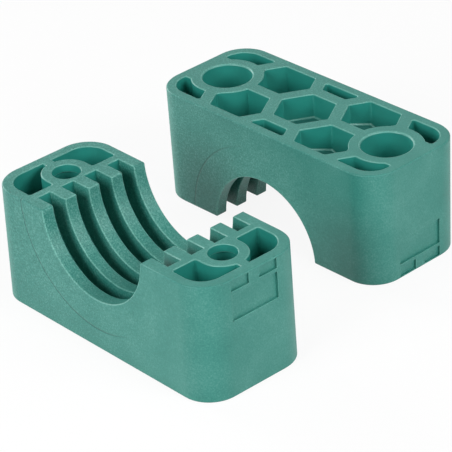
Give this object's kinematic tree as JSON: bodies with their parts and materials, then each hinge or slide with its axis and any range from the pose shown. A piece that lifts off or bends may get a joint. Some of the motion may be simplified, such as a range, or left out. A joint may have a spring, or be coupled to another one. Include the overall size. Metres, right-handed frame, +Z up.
{
  "type": "hydraulic tube clamp",
  "caption": "Moulded plastic tube clamp: matching halves with a ribbed half-round seat, bolt holes and a honeycomb back, laid side by side.",
  "frame": {"origin": "on the table, below the middle of the pair's outline", "axes": "+X along the halves towards the ends with the recessed fields, +Y from the half with its seat up to the half with its honeycomb up, along the tube's direction, +Z up"},
  "size_m": [0.0794, 0.0866, 0.0286],
  "materials": {
    "moulded_plastic": "moulded green polypropylene, fine satin grain"
  },
  "bodies": {
    "root": {"half_grooves_up": "moulded_plastic", "half_honeycomb_up": "moulded_plastic"}
  },
  "joints": []
}
